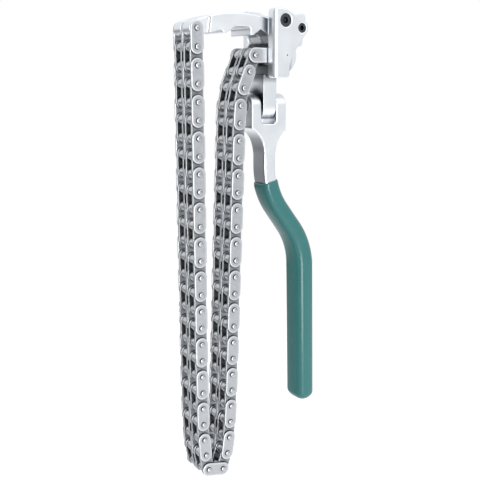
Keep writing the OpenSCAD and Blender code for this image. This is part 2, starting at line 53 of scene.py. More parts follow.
CRADLE_ARC = (-95, -45)
CRADLE_HALF = 10.9


def linear(code):
    """sRGB hex to linear RGBA: c / 12.92 up to 0.04045, above it ((c + 0.055) / 1.055) ** 2.4."""
    c = np.array([int(code[i : i + 2], 16) for i in (1, 3, 5)]) / 255
    rgb = np.where(c <= 0.04045, c / 12.92, ((c + 0.055) / 1.055) ** 2.4)
    return (*rgb.tolist(), 1.0)


def add(tree, kind, inputs=None, **settings):
    """Adds a node with its settings, and fills inputs by name or number with values or links."""
    node = tree.nodes.new(kind)
    for key, value in settings.items():
        setattr(node, key, value)
    for key, value in (inputs or {}).items():
        if isinstance(value, bpy.types.NodeSocket):
            tree.links.new(value, node.inputs[key])
        else:
            node.inputs[key].default_value = value
    return node


def blank_material(name):
    """New material and its node tree, emptied."""
    material = bpy.data.materials.new(name)
    material.use_nodes = True
    material.node_tree.nodes.clear()
    return material, material.node_tree


def placed(name, data):
    """New object of the given mesh, lamp or camera, put in the scene."""
    piece = bpy.data.objects.new(name, data)
    bpy.context.scene.collection.objects.link(piece)
    return piece


def rings_to_shell(grid, wear_and_light, loop=False):
    """Points, quads, end faces and marks of wear and painted light of a grid of rings: point (i, j) joins
    (i, j + 1) round the ring and (i + 1, j) on the next. The end rings get flat faces or, in a loop, are
    joined to each other."""
    m, n = grid.shape[:2]
    at = np.arange(m * n).reshape(m, n)
    here = at if loop else at[:-1]
    there = np.roll(at, -1, 0) if loop else at[1:]
    quads = np.stack([here, np.roll(here, -1, 1), np.roll(there, -1, 1), there], -1).reshape(-1, 4)
    caps = np.empty((0, n), int) if loop else np.stack([at[0, ::-1], at[-1]])
    points = grid.reshape(-1, 3)
    a, b, c, d = (points[quads[:, i]] for i in range(4))
    volume = (np.cross(a, b) * c).sum() + (np.cross(a, c) * d).sum()
    fan = points[caps]
    volume += (np.cross(fan[:, 1:-1], fan[:, 2:]) * fan[:, :1]).sum()
    if volume < 0:
        quads, caps = quads[:, ::-1], caps[:, ::-1]
    return points, quads, caps, np.repeat(wear_and_light, n)


def slot_cradle(steps=12):
    """Web under the anchor link's round end: a sector about the anchor pin, between the radii of CRADLE_R and
    the angles of CRADLE_ARC, carried across the slot: x = x0 + r cos t, z = z0 + r sin t."""
    t = np.radians(np.linspace(*CRADLE_ARC, steps))
    t = np.concatenate([t, t[::-1]])
    r = np.repeat(CRADLE_R, steps)
    y = MID_Y + np.array([[-CRADLE_HALF], [CRADLE_HALF]])
    sides = np.broadcast_arrays(ANCHOR_AT[0] + r * np.cos(t), y, ANCHOR_AT[1] + r * np.sin(t))
    points, quads, caps, _ = rings_to_shell(np.stack(sides, -1), np.zeros(2))
    mesh = bpy.data.meshes.new("slot_cradle")
    mesh.from_pydata((points * MM).tolist(), [], quads.tolist() + caps.tolist())
    return mesh


def softened(node, name, grain, passes, *webs):
    """Copy of a CAD node with its doubles merged, joined with any webs, drawn again on a grid of the given
    grain in mm and eased by passes of averaging, which rounds every edge to about grain * sqrt(passes)."""
    mesh = bpy.data.meshes.new(name)
    bm = bmesh.new()
    for part in (frame["nodes"][node].data, *webs):
        bm.from_mesh(part)
    bmesh.ops.remove_doubles(bm, verts=bm.verts, dist=MERGE * MM)
    bm.to_mesh(mesh)
    bm.free()
    piece = placed(name, mesh)
    skin = piece.modifiers.new("skin", "REMESH")
    skin.mode = "VOXEL"
    skin.voxel_size = grain * MM
    skin.use_smooth_shade = True
    ease = piece.modifiers.new("ease", "SMOOTH")
    ease.factor = 0.5
    ease.iterations = passes
    return piece


# Satin chrome plating: a near-white metal with blurred reflections. The blasted grain is
# about 0.4 mm and is drawn at 1.2 mm so that it shows; the hand linishing waves over 9 mm.
# Painted shade darkens it to grey in the slot between the cheeks and, where the occlusion finds
# a corner, where the arm meets the cheeks. The flanks of the handle's neck are drawn grey too.
satin_chrome, tree = blank_material("satin_chrome_plating")
spot = add(tree, "ShaderNodeTexCoord").outputs["Object"]
place = add(tree, "ShaderNodeSeparateXYZ", {0: spot})
off = add(tree, "ShaderNodeMath", {0: place.outputs["Y"], 1: -MID_Y * MM}, operation="ADD")
aside = add(tree, "ShaderNodeMath", {0: off.outputs[0]}, operation="ABSOLUTE").outputs[0]
grain = add(tree, "ShaderNodeTexNoise", {"Vector": spot, "Scale": 1 / (1.2 * MM), "Detail": 3.0})
waves = add(tree, "ShaderNodeTexNoise", {"Vector": spot, "Scale": 1 / (9 * MM), "Detail": 2.0})
nooks = add(tree, "ShaderNodeAmbientOcclusion", {"Color": (1, 1, 1, 1), "Distance": 6 * MM}, samples=8)

# Each mask rises from nothing at its first limit to its full value at its second. The slot's
# is the product of four, the arm's root of three and the neck's of two.
inner = add(tree, "ShaderNodeMapRange", {0: aside, 1: 11.1 * MM, 2: 10.8 * MM, 4: 0.72})
ahead = add(tree, "ShaderNodeMapRange", {0: place.outputs["X"], 1: 13 * MM, 2: 10 * MM})
level = add(tree, "ShaderNodeMapRange", {0: place.outputs["Z"], 1: 5.6 * MM, 2: 4.4 * MM})
over = add(tree, "ShaderNodeMapRange", {0: place.outputs["Z"], 1: -15 * MM, 2: -12 * MM})
near = add(tree, "ShaderNodeMapRange", {0: nooks.outputs["AO"], 1: 0.97, 2: 0.76})
arm = add(tree, "ShaderNodeMapRange", {0: place.outputs["X"], 1: -10 * MM, 2: -7 * MM})
left = add(tree, "ShaderNodeMapRange", {0: place.outputs["X"], 1: -3.5 * MM, 2: -3.8 * MM})
flank = add(tree, "ShaderNodeMapRange", {0: aside, 1: 6.2 * MM, 2: 5.2 * MM, 4: 0.5})
below = add(tree, "ShaderNodeMapRange", {0: place.outputs["Z"], 1: -40 * MM, 2: -46 * MM})
patches = []
for first, *limits in ((inner, ahead, level, over), (near, arm, left), (flank, below)):
    patch = first
    for limit in limits:
        patch = add(tree, "ShaderNodeMath", {0: patch.outputs[0], 1: limit.outputs[0]}, operation="MULTIPLY")
    patches.append(patch.outputs[0])
# One mask for the painted shade of the slot and of the arm's root, and for the grey neck flanks.
painted_shade_and_flank_grey = patches[0]
for patch in patches[1:]:
    painted_shade_and_flank_grey = add(tree, "ShaderNodeMath", {0: painted_shade_and_flank_grey, 1: patch}, operation="MAXIMUM").outputs[0]

tint = add(
    tree, "ShaderNodeMix",
    {0: waves.outputs["Fac"], 6: linear("#E6E9EC"), 7: linear("#EFF1F4")}, data_type="RGBA",
)
# Painted shade: under this mask the plating is mixed to dark grey and made a little rougher.
plate = add(tree, "ShaderNodeMix", {0: painted_shade_and_flank_grey, 6: tint.outputs[2], 7: linear("#41474D")}, data_type="RGBA")
sheen = add(tree, "ShaderNodeMapRange", {0: waves.outputs["Fac"], 1: 0.3, 2: 0.7, 3: 0.30, 4: 0.38})
rough = add(tree, "ShaderNodeMath", {0: painted_shade_and_flank_grey, 1: 0.15, 2: sheen.outputs[0]}, operation="MULTIPLY_ADD")
bump = add(tree, "ShaderNodeBump", {"Strength": 0.1, "Distance": 0.03 * MM, "Height": grain.outputs["Fac"]})
shader = add(
    tree, "ShaderNodeBsdfPrincipled",
    {
        "Base Color": plate.outputs[2], "Metallic": 1.0,
        "Roughness": rough.outputs[0], "Normal": bump.outputs["Normal"],
    },
)
add(tree, "ShaderNodeOutputMaterial", {"Surface": shader.outputs["BSDF"]})

head = softened("head", "forged_head", 0.3, 5, slot_cradle())
head.data.materials.append(satin_chrome)
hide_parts("head")
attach(head, "head")

# Jaw arm: an arched steel forging whose tail sits in the head's slot and whose two-lobed
# tip carries the chain. It is plated with the head.
jaw_arm = softened("jaw_arm", "arched_jaw_arm", 0.29, 8)
jaw_arm.data.materials.append(satin_chrome)
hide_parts("jaw_arm")
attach(jaw_arm, "head")

# Screws: a socket cap screw and a smaller socket set screw of alloy steel, sunk in the front
# cheek. They are blackened in hot oxide and oiled, and painted shade makes them near black down in their
# sockets.
black_oxide, tree = blank_material("oiled_black_oxide_steel")
spot = add(tree, "ShaderNodeTexCoord").outputs["Object"]
blotch = add(tree, "ShaderNodeTexNoise", {"Vector": spot, "Scale": 1 / (1.5 * MM), "Detail": 3.0})
black = add(
    tree, "ShaderNodeMix",
    {0: blotch.outputs["Fac"], 6: linear("#3C4044"), 7: linear("#5A5F64")}, data_type="RGBA",
)
# Painted shade: near black where the occlusion finds the socket's walls.
nooks = add(tree, "ShaderNodeAmbientOcclusion", {"Color": (1, 1, 1, 1), "Distance": 2 * MM}, samples=8)
open_to = add(tree, "ShaderNodeMapRange", {0: nooks.outputs["AO"], 1: 0.3, 2: 0.8})
black = add(
    tree, "ShaderNodeMix",
    {0: open_to.outputs[0], 6: linear("#0C0D0E"), 7: black.outputs[2]}, data_type="RGBA",
)
rough = add(tree, "ShaderNodeMapRange", {0: blotch.outputs["Fac"], 3: 0.3, 4: 0.5})
shader = add(
    tree, "ShaderNodeBsdfPrincipled",
    {"Base Color": black.outputs[2], "Metallic": 1.0, "Roughness": rough.outputs[0]},
)
add(tree, "ShaderNodeOutputMaterial", {"Surface": shader.outputs["BSDF"]})
screws = softened("head_screws", "socket_screws", 0.2, 3)
screws.data.materials.append(black_oxide)
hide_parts("head_screws")
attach(screws, "head")

# Anchor pin: a steel pin pressed through both cheeks and ground flush before plating, so that
# only its end shows as a faint disc, with a centre mark drawn in the black screw steel as painted shade.
PIN_HALF = 17.05
SHANK_R = 2.0
FLUSH_R = 2.6
SWAGE = (0.1, 0.6)
MARK_R = 0.4
MARK_TIP = 0.02
MARK_DEPTH = 0.4


def turned(x0, r, y, wear_and_light, loop=False, around=24):
    """Profile of radius r at y carried round an axis along Y through x0: x = x0 + r cos a, z = r sin a."""
    a = np.linspace(0, 2 * np.pi, around, endpoint=False)
    x = x0 + r[:, None] * np.cos(a)
    z = r[:, None] * np.sin(a)
    return rings_to_shell(np.stack([x, np.broadcast_to(y[:, None], x.shape), z], -1), wear_and_light, loop)


def flush_pin():
    """Pin with a centre mark in each end. Its ends are swaged out in a cone, r = 2 + 0.6 * (0.6 - d) / 0.5 at
    a depth d from 0.6 to 0.1, and are straight from there to the face."""
    r = np.array([MARK_TIP, MARK_R, FLUSH_R, FLUSH_R, SHANK_R])
    depth = np.array([MARK_DEPTH, 0.0, 0.0, *SWAGE])
    y = np.concatenate([depth - PIN_HALF, (PIN_HALF - depth)[::-1]]) + MID_Y
    r = np.concatenate([r, r[::-1]])
    return turned(ANCHOR_AT[0], r, y, np.zeros(len(r)), around=40)


points, quads, caps, _ = flush_pin()
mesh = bpy.data.meshes.new("flush_anchor_pin")
mesh.from_pydata((points * MM).tolist(), [], quads.tolist() + caps.tolist())
mesh.shade_smooth()
mesh.set_sharp_from_angle(angle=math.radians(30))
mesh.materials.append(satin_chrome)
mesh.materials.append(black_oxide)
# The centre marks take the black material: painted shade in the small cones.
ring = caps.shape[1]
painted_shade_mark = np.zeros(len(quads) + len(caps), int)
painted_shade_mark[:ring] = 1
painted_shade_mark[-ring - len(caps) :] = 1
mesh.polygons.foreach_set("material_index", painted_shade_mark)
body_of = {node: body for body, nodes in frame["record"]["behaviour"]["bodies"].items() for node in nodes}
anchor_pin = placed("flush_anchor_pin", mesh)
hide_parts("anchor_pin")
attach(anchor_pin, body_of["anchor_pin"])

# Chain, outer links: stamped plates of cold-rolled steel on both sides and one plate between
# the rows, all pressed on two hardened pins whose ends are riveted and stand proud.
# Pairs of the loop's values are for the right-hand and the left-hand strand.
PITCH = 9.525
PLATE_H = 7.7
OUTER = (9.30, 10.30)
MIDDLE = 0.94
RIM_LIGHT_BAND = (0.45, 0.1)
PIN_R = 1.64
PIN_END = 11.40
LINKS = 26
ANCHOR_LEN = 16.1
SLANT = 20.5
STRAND_LEAN = (2.0, 0.4)
FOOT_TURN = (16.0, 10.0)
FOOT_FADE = (0.4, 0.5)
BOTTOM = 25
BOTTOM_TURN = 100.0


def stamped_plate(length, height, y0, y1, roll=0.5, dip=0.32, around=18):
    """Plate with round ends about both holes. Its outline, a circle of radius h/2 about each hole and
    the straight sides between, is drawn in by roll * (1 - sin t) at a depth of dip * (1 - cos t). The
    rim's lighter mark, partly wear and partly a painted highlight, fades over RIM_LIGHT_BAND on the flat
    inside the rolled rim."""
    t = np.radians(np.linspace(0, 90, 5))
    inset = np.concatenate([roll + np.array(RIM_LIGHT_BAND), roll * (1 - np.sin(t))])
    depth = np.concatenate([[0, 0], dip * (1 - np.cos(t))])
    wear_and_light = np.array([0, 1.0, 1, 1, 1, 0.9, 0.7])
    inset = np.concatenate([inset, inset[::-1]])[:, None]
    y = np.concatenate([y0 + depth, (y1 - depth)[::-1]])[:, None]
    turn = np.radians(np.concatenate([np.linspace(-90, 90, around), np.linspace(90, 270, around)]))
    middle = np.repeat([length, 0.0], around)
    radius = height / 2 - inset
    x = middle + radius * np.cos(turn)
    z = radius * np.sin(turn)
    grid = np.stack([x, np.broadcast_to(y, x.shape), z], -1)
    return rings_to_shell(grid, np.concatenate([wear_and_light, wear_and_light[::-1]]))


def riveted_pin(x0):
    """Pin through a link: a cylinder whose ends round over to a low dome, lighter on top, with painted shade
    on its sides.
    """
    r = np.array([0.45, 0.85, 1.15, 1.38, 1.54, PIN_R, PIN_R])
    drop = np.array([0.0, 0.05, 0.15, 0.3, 0.48, 0.72, 1.3])
    wear_and_light = np.array([0.6, 0.6, 0.6, 0.55, 0.3, 0.0, 0.0])
    y = np.concatenate([drop - PIN_END, (PIN_END - drop)[::-1]])
    return turned(x0, np.concatenate([r, r[::-1]]), y, np.concatenate([wear_and_light, wear_and_light[::-1]]))


def chain_pins():
    """Pins of the loop from the anchor link's end to the arm's tip: the heading of link k from straight down
    gives a step of one pitch, and the steps add up. A strand leans and turns in at its foot by
    turn * fade ** n, n links from the foot; the right one slants under the head by
    SLANT / (1 + (k / 2) ** 6)."""
    k = np.arange(2.0 * LINKS)
    right = -STRAND_LEAN[0] - SLANT / (1 + (k / 2) ** 6) - FOOT_TURN[0] * FOOT_FADE[0] ** (BOTTOM - 1 - k)
    left = -180 + STRAND_LEAN[1] + FOOT_TURN[1] * FOOT_FADE[1] ** (k - BOTTOM - 1)
    heading = np.radians(np.where(k < BOTTOM, right, np.where(k == BOTTOM, -BOTTOM_TURN, left)))
    steps = PITCH * np.stack([np.sin(heading), -np.cos(heading)], -1)
    return np.concatenate([[[0, 0]], np.cumsum(steps, 0)]) + [ANCHOR_AT[0] - ANCHOR_LEN, 0]


def linked(name, shells, slots, materials, start, run):
    """One link's object. Its shells, drawn along X from the first pin, are turned onto the run between two
    pins and set at the middle plane: x' = x0 + x cos a - z sin a, z' = z0 + x sin a + z cos a."""
    c, s = run / np.hypot(*run)
    x, y, z = np.concatenate([shell[0] for shell in shells]).T
    points = np.stack([start[0] + x * c - z * s, MID_Y + y, start[1] + x * s + z * c], -1) * MM
    base = np.cumsum([0] + [len(shell[0]) for shell in shells])
    faces, counts = [], []
    for shift, (_, quads, caps, _) in zip(base, shells):
        faces += (quads + shift).tolist() + (caps + shift).tolist()
        counts.append(len(quads) + len(caps))
    mesh = bpy.data.meshes.new(name)
    mesh.from_pydata(points.tolist(), [], faces)
    for material in materials:
        mesh.materials.append(material)
    mesh.polygons.foreach_set("material_index", np.repeat(slots, counts))
    # Marks of wear and painted light: wear on the rollers, wear and painted highlight on the plates' rims,
    # painted shade on the pins' sides.
    wear_and_light = mesh.attributes.new("wear_and_light", "FLOAT", "POINT")
    wear_and_light.data.foreach_set("value", np.concatenate([shell[3] for shell in shells]))
    mesh.shade_smooth()
    mesh.set_sharp_from_angle(angle=math.radians(42))
    return placed(name, mesh)


# Tumbled plate steel: grey with a dull sheen, lighter round the rolled rims, partly from wear and
# partly a painted highlight, and near black as painted shade where the occlusion finds the next part.
# The tumbling leaves a mottle of about 2 mm and fine scratches, drawn at 0.9 mm so that they show.
plate_steel, tree = blank_material("tumbled_plate_steel")
spot = add(tree, "ShaderNodeTexCoord").outputs["Object"]
rub_and_light = add(tree, "ShaderNodeAttribute", attribute_name="wear_and_light").outputs["Fac"]
mottle = add(tree, "ShaderNodeTexNoise", {"Vector": spot, "Scale": 1 / (2 * MM), "Detail": 4.0})
scuffs = add(tree, "ShaderNodeTexNoise", {"Vector": spot, "Scale": 1 / (0.9 * MM), "Detail": 2.0})
grey = add(
    tree, "ShaderNodeMix",
    {0: mottle.outputs["Fac"], 6: linear("#ADAFB2"), 7: linear("#BFC1C4")}, data_type="RGBA",
)
# Painted highlight, partly wear: the rolled rims are mixed lighter.
rim = add(tree, "ShaderNodeMix", {0: rub_and_light, 6: grey.outputs[2], 7: linear("#D2D4D7")}, data_type="RGBA")
# Painted shade: near black where the occlusion finds a neighbouring plate or pin.
nooks = add(tree, "ShaderNodeAmbientOcclusion", {"Color": (1, 1, 1, 1), "Distance": 1.2 * MM}, samples=8)
unshaded = add(tree, "ShaderNodeMapRange", {0: nooks.outputs["AO"], 1: 0.3, 2: 0.75})
painted_light_colour = add(
    tree, "ShaderNodeMix",
    {0: unshaded.outputs[0], 6: linear("#3A3C3F"), 7: rim.outputs[2]}, data_type="RGBA",
)
rough = add(tree, "ShaderNodeMapRange", {0: mottle.outputs["Fac"], 1: 0.3, 2: 0.7, 3: 0.36, 4: 0.5})
bump = add(tree, "ShaderNodeBump", {"Strength": 0.15, "Distance": 0.02 * MM, "Height": scuffs.outputs["Fac"]})
shader = add(
    tree, "ShaderNodeBsdfPrincipled",
    {
        "Base Color": painted_light_colour.outputs[2], "Metallic": 1.0,
        "Roughness": rough.outputs[0], "Normal": bump.outputs["Normal"],
    },
)
add(tree, "ShaderNodeOutputMaterial", {"Surface": shader.outputs["BSDF"]})

# Ground pin and roller steel: harder and smoother than the plates, with a ground skin that varies
# over about 1.5 mm. It is bright on the rollers' worn faces and the pins' domes, and painted shade
# makes it near black on the pins' sides and in the rollers' bores.
bright_steel, tree = blank_material("ground_bright_steel")
spot = add(tree, "ShaderNodeTexCoord").outputs["Object"]
rub_and_light = add(tree, "ShaderNodeAttribute", attribute_name="wear_and_light").outputs["Fac"]
skin = add(tree, "ShaderNodeTexNoise", {"Vector": spot, "Scale": 1 / (1.5 * MM), "Detail": 3.0})
white = add(
    tree, "ShaderNodeMix",
    {0: skin.outputs["Fac"], 6: linear("#DEE0E2"), 7: linear("#F0F1F2")}, data_type="RGBA",
)
# Painted shade: near black where the mark is low, on the pins' sides and in the rollers' bores.
painted_light_colour = add(tree, "ShaderNodeMix", {0: rub_and_light, 6: linear("#303235"), 7: white.outputs[2]}, data_type="RGBA")
rough = add(tree, "ShaderNodeMapRange", {0: skin.outputs["Fac"], 3: 0.18, 4: 0.28})
shader = add(
    tree, "ShaderNodeBsdfPrincipled",
    {"Base Color": painted_light_colour.outputs[2], "Metallic": 1.0, "Roughness": rough.outputs[0]},
)
add(tree, "ShaderNodeOutputMaterial", {"Surface": shader.outputs["BSDF"]})

pins = chain_pins()
outer_shells = [
    stamped_plate(PITCH, PLATE_H, -OUTER[1], -OUTER[0]),
    stamped_plate(PITCH, PLATE_H, -MIDDLE, MIDDLE, roll=0.3),
    stamped_plate(PITCH, PLATE_H, OUTER[0], OUTER[1]),
    riveted_pin(0.0),
    riveted_pin(PITCH),
]
for n in range(1, LINKS + 1):
    k = 2 * (LINKS - n) + 1
    link = linked(
        f"outer_link_plates_{n:02d}", outer_shells, [0, 0, 0, 1, 1],
        [plate_steel, bright_steel], pins[k], pins[k + 1] - pins[k],
    )
    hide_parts(f"outer_link_{n:02d}")
    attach(link, body_of[f"outer_link_{n:02d}"])

# Chain, inner links: in each row two stamped plates pressed on two bushes, with a loose roller
# on each bush. The plates sit deep and are drawn darker as painted shade; the rollers run bright.
ROW = 10.24
INNER = (2.86, 4.06)
BUSH_R = (1.70, 2.35)
BUSH_EDGE = 0.1
ROLLER_R = (2.43, 3.175)
ROLLER_HALF = 2.74
ROLLER_EDGE = 0.35
ROLLER_WORN = 0.7


def tube(x0, y_mid, radii, half, edge, worn):
    """Ring of rectangular section with its outer corners rounded to edge, carried round the axis, and
    marked worn bright by worn on its outside."""
    t = np.radians(np.linspace(0, 90, 4))
    r_in, r_out = radii
    corner_r = r_out - edge + edge * np.cos(t)
    corner_y = half - edge + edge * np.sin(t)
    r = np.concatenate([corner_r, [r_in, r_in], corner_r[::-1]])
    y = np.concatenate([corner_y, [half, -half], -corner_y[::-1]]) + y_mid
    wear_and_light = worn * np.concatenate([np.ones(4), [0, 0], np.ones(4)])
    return turned(x0, r, y, wear_and_light, loop=True, around=28)


# Shaded plate steel: a darker copy of the stamped plates' steel in middle grey as painted shade,
# near black in the gaps between the plates as painted shade, and with a painted highlight along
# their edges, with a mottle of about 2 mm.
shaded_copy_steel, tree = blank_material("shaded_copy_plate_steel")
spot = add(tree, "ShaderNodeTexCoord").outputs["Object"]
rub_and_light = add(tree, "ShaderNodeAttribute", attribute_name="wear_and_light").outputs["Fac"]
film = add(tree, "ShaderNodeTexNoise", {"Vector": spot, "Scale": 1 / (2 * MM), "Detail": 4.0})
# Painted shade: a darker copy of the plate steel's greys for the plates that sit deep.
dark = add(
    tree, "ShaderNodeMix",
    {0: film.outputs["Fac"], 6: linear("#909396"), 7: linear("#A5A8AB")}, data_type="RGBA",
)
# Painted shade: near black where the occlusion finds the gaps between the plates.
nooks = add(tree, "ShaderNodeAmbientOcclusion", {"Color": (1, 1, 1, 1), "Distance": 4 * MM}, samples=8)
unshaded = add(tree, "ShaderNodeMapRange", {0: nooks.outputs["AO"], 1: 0.52, 2: 0.95})
black = add(
    tree, "ShaderNodeMix",
    {0: unshaded.outputs[0], 6: linear("#101113"), 7: dark.outputs[2]}, data_type="RGBA",
)
# Painted highlight: the plates' edges are mixed lighter.
rim = add(tree, "ShaderNodeMath", {0: rub_and_light, 1: 0.5}, operation="MULTIPLY")
painted_light_colour = add(
    tree, "ShaderNodeMix",
    {0: rim.outputs[0], 6: black.outputs[2], 7: linear("#CED0D3")}, data_type="RGBA",
)
rough = add(tree, "ShaderNodeMapRange", {0: film.outputs["Fac"], 3: 0.3, 4: 0.45})
shader = add(
    tree, "ShaderNodeBsdfPrincipled",
    {"Base Color": painted_light_colour.outputs[2], "Metallic": 1.0, "Roughness": rough.outputs[0]},
)
add(tree, "ShaderNodeOutputMaterial", {"Surface": shader.outputs["BSDF"]})

inner_shells, inner_slots = [], []
for row in (-ROW / 2, ROW / 2):
    for side in (-1, 1):
        y0, y1 = sorted((row + side * INNER[0], row + side * INNER[1]))
        inner_shells.append(stamped_plate(PITCH, PLATE_H, y0, y1, roll=0.4, dip=0.5))
        inner_slots.append(0)
    for x0 in (0.0, PITCH):
        inner_shells.append(tube(x0, row, BUSH_R, INNER[1], BUSH_EDGE, 0.0))
        inner_shells.append(tube(x0, row, ROLLER_R, ROLLER_HALF, ROLLER_EDGE, ROLLER_WORN))
        inner_slots += [0, 1]
for n in range(1, LINKS + 1):
    k = 2 * (LINKS - n)
    link = linked(
        f"inner_link_rows_{n:02d}", inner_shells, inner_slots,
        [shaded_copy_steel, bright_steel], pins[k], pins[k + 1] - pins[k],
    )
    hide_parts(f"inner_link_{n:02d}")
    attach(link, body_of[f"inner_link_{n:02d}"])

# Anchor link: a longer end link of the same plate steel. One pin holds the chain, and the
# far end turns on the anchor pin inside the head's slot.
ANCHOR_H = 8.2
anchor_shells = [
    stamped_plate(ANCHOR_LEN, ANCHOR_H, -OUTER[1], -OUTER[0]),
    stamped_plate(ANCHOR_LEN, ANCHOR_H, -MIDDLE, MIDDLE, roll=0.3),
    stamped_plate(ANCHOR_LEN, ANCHOR_H, OUTER[0], OUTER[1]),
    riveted_pin(0.0),
]
anchor_link = linked(
    "anchor_link_plates", anchor_shells, [0, 0, 0, 1],
    [plate_steel, bright_steel], pins[0], np.array(ANCHOR_AT) - pins[0],
)
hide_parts("anchor_link")
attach(anchor_link, "anchor_link")

# Handle: a forged fork that runs through a waisted neck into a cranked bar. It is plated
# like the head; only the fork and the neck show above the grip.
handle = softened("handle", "forked_handle", 0.35, 12)
handle.data.materials.append(satin_chrome)
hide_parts("handle")
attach(handle, "handle")

# Hinge pin: a ground steel pin pressed into both tines, which shows only at its two ends.
frame["nodes"]["hinge_pin"].data.materials.clear()
frame["nodes"]["hinge_pin"].data.materials.append(plate_steel)

# Grip: the cranked bar is dipped in soft plastic, which hangs in an even coat of a little over
# a millimetre, rounds off the bar's edges and ends in a rim under the fork, square to the crank.
# BAR is the bar's width, depth and edge radius; END_R is the round end across and along.
BAR = (7.8, 12.8, 1.2)
BAR_GAP = 0.03
COAT = 1.2
SWELL = 0.9
SWELL_RUN = 68.0
CROWN = 0.12
EDGE_R = (3.8, 4.8)
EDGE_RUN = 25.0
EDGE_FLAT = 0.3
LIP_DRAW = 0.55
LIP_DROP = 0.5
END_WALL = 2.4
END_CLEAR = 2.0
END_R = (5.6, 5.0)
RIM_Z = -70.3
CRANK_Z = -61.5
CRANK_X = 1.2
BEND_R = 42.0
BEND = 37.0
LEAN = 1.3
RUN = 14.5
STRAIGHT = 84.6


def crank(count=150):
    """Places along the crank as x, z and heading: an arc to the right, a straight run, an arc back to the
    grip's lean, and the straight grip, at even steps of length."""
    arc_1 = np.radians(BEND) * BEND_R
    arc_2 = np.radians(BEND - LEAN) * BEND_R
    bounds = np.cumsum([arc_1, RUN, arc_2, STRAIGHT])
    s = np.linspace(0, bounds[-1], count)
    heading = np.interp(s, [0, *bounds], np.radians([0, BEND, BEND, LEAN, LEAN]))
    middle = (heading[1:] + heading[:-1]) / 2
    step = np.diff(s)
    x = CRANK_X + np.concatenate([[0], np.cumsum(step * np.sin(middle))])
    z = CRANK_Z - np.concatenate([[0], np.cumsum(step * np.cos(middle))])
    return s, x, z, heading


def coat_sections(w, d, r, crown, corner=9, side=8):
    """Rounded rectangles, w wide and d deep, one for each entry: quarter circles of radius r at the corners,
    and sides of half length h between them that swell by crown * h / 2 * (1 - u * u)."""
    w, d, r, crown = (np.asarray(q)[:, None] for q in (w, d, r, crown))
    t = np.radians(np.linspace(0, 90, corner))
    u = np.linspace(-1, 1, side + 2)[1:-1]
    a, b = w / 2 - r, d / 2 - r
    xs, ys = [], []
    for quarter, (sx, sy) in enumerate(((1, 1), (-1, 1), (-1, -1), (1, -1))):
        turn = t + quarter * np.pi / 2
        lift = r + crown * (a if quarter % 2 == 0 else b) / 2 * (1 - u * u)
        xs += [sx * a + r * np.cos(turn), -sx * u * a if quarter % 2 == 0 else sx * (a + lift)]
        ys += [sy * b + r * np.sin(turn), sy * (b + lift) if quarter % 2 == 0 else -sy * u * b]
    return np.stack([np.concatenate(xs, 1), np.concatenate(ys, 1)], -1)


def dipped_coat(lip_steps=5, end_steps=9):
    """Closed coat: rings go up the inside along the bar, over the round rim and down the outside, and close
    in a round end that draws in by 1 - cos t over 1 - sin t. Each ring sits across the crank's heading."""
    s, x, z, heading = crank()
    below = np.nonzero(z < RIM_Z - LIP_DROP)[0]
    inside = np.concatenate([[len(s) - 1], below[s[below] < s[-1] - END_WALL - END_CLEAR][::-4]])
    along = below[1:][s[below[1:]] < s[-1] - END_R[1]]
    bore, skin = len(inside), len(along)
    lip = np.radians(np.linspace(0, 90, lip_steps))
    end = np.radians(np.linspace(0, 90, end_steps))
    coat = np.concatenate([
        np.full(bore, BAR_GAP),
        COAT - LIP_DRAW * (1 - np.sin(lip)),
        COAT + SWELL * np.minimum(1, s[along] / SWELL_RUN),
        COAT + SWELL - END_R[0] * (1 - np.cos(end)),
    ])
    w, d = BAR[0] + 2 * coat, BAR[1] + 2 * coat
    slack = np.interp(s[along], [s[along[0]], s[along[0]] + EDGE_RUN], EDGE_R)
    r = np.concatenate([
        np.full(bore, BAR[2]), np.full(lip_steps, EDGE_R[0]), slack, np.full(end_steps, EDGE_R[1]),
    ])
    r = np.minimum(r, w / 2 - EDGE_FLAT)
    crown = np.concatenate([np.zeros(bore), np.full(lip_steps + skin, CROWN), CROWN * np.cos(end)])
    back = np.concatenate([
        [END_WALL], np.zeros(bore - 1 + lip_steps + skin), END_R[1] * (1 - np.sin(end)),
    ])
    at = np.concatenate([inside, np.full(lip_steps, below[0]), along, np.full(end_steps, len(s) - 1)])
    px, pz, ph = x[at], z[at], heading[at]
    pz[bore : bore + lip_steps] = RIM_Z - LIP_DROP * (1 - np.cos(lip))
    px, pz, ph = (q[:, None] for q in (px - back * np.sin(ph), pz + back * np.cos(ph), ph))
    across, deep = np.moveaxis(coat_sections(w, d, r, crown), -1, 0)
    grid = np.stack([px + across * np.cos(ph), MID_Y + deep, pz + across * np.sin(ph)], -1)
    return rings_to_shell(grid * MM, np.zeros(len(grid)))


# Dipped plastisol: soft green PVC with a half gloss. The dip hangs in faint waves of about 14 mm,
# and handling leaves scuffs of about 1.5 mm.
plastisol, tree = blank_material("dipped_green_plastisol")
spot = add(tree, "ShaderNodeTexCoord").outputs["Object"]
hang = add(tree, "ShaderNodeTexNoise", {"Vector": spot, "Scale": 1 / (14 * MM), "Detail": 2.0})
wear = add(tree, "ShaderNodeTexNoise", {"Vector": spot, "Scale": 1 / (1.5 * MM), "Detail": 3.0})
green = add(
    tree, "ShaderNodeMix",
    {0: hang.outputs["Fac"], 6: linear("#2A6766"), 7: linear("#306F6E")}, data_type="RGBA",
)
scuff = add(tree, "ShaderNodeMapRange", {0: wear.outputs["Fac"], 1: 0.7, 2: 0.8})
worn = add(
    tree, "ShaderNodeMix",
    {0: scuff.outputs[0], 6: green.outputs[2], 7: linear("#2A5F5D")}, data_type="RGBA",
)
rough = add(tree, "ShaderNodeMapRange", {0: hang.outputs["Fac"], 1: 0.3, 2: 0.7, 3: 0.17, 4: 0.24})
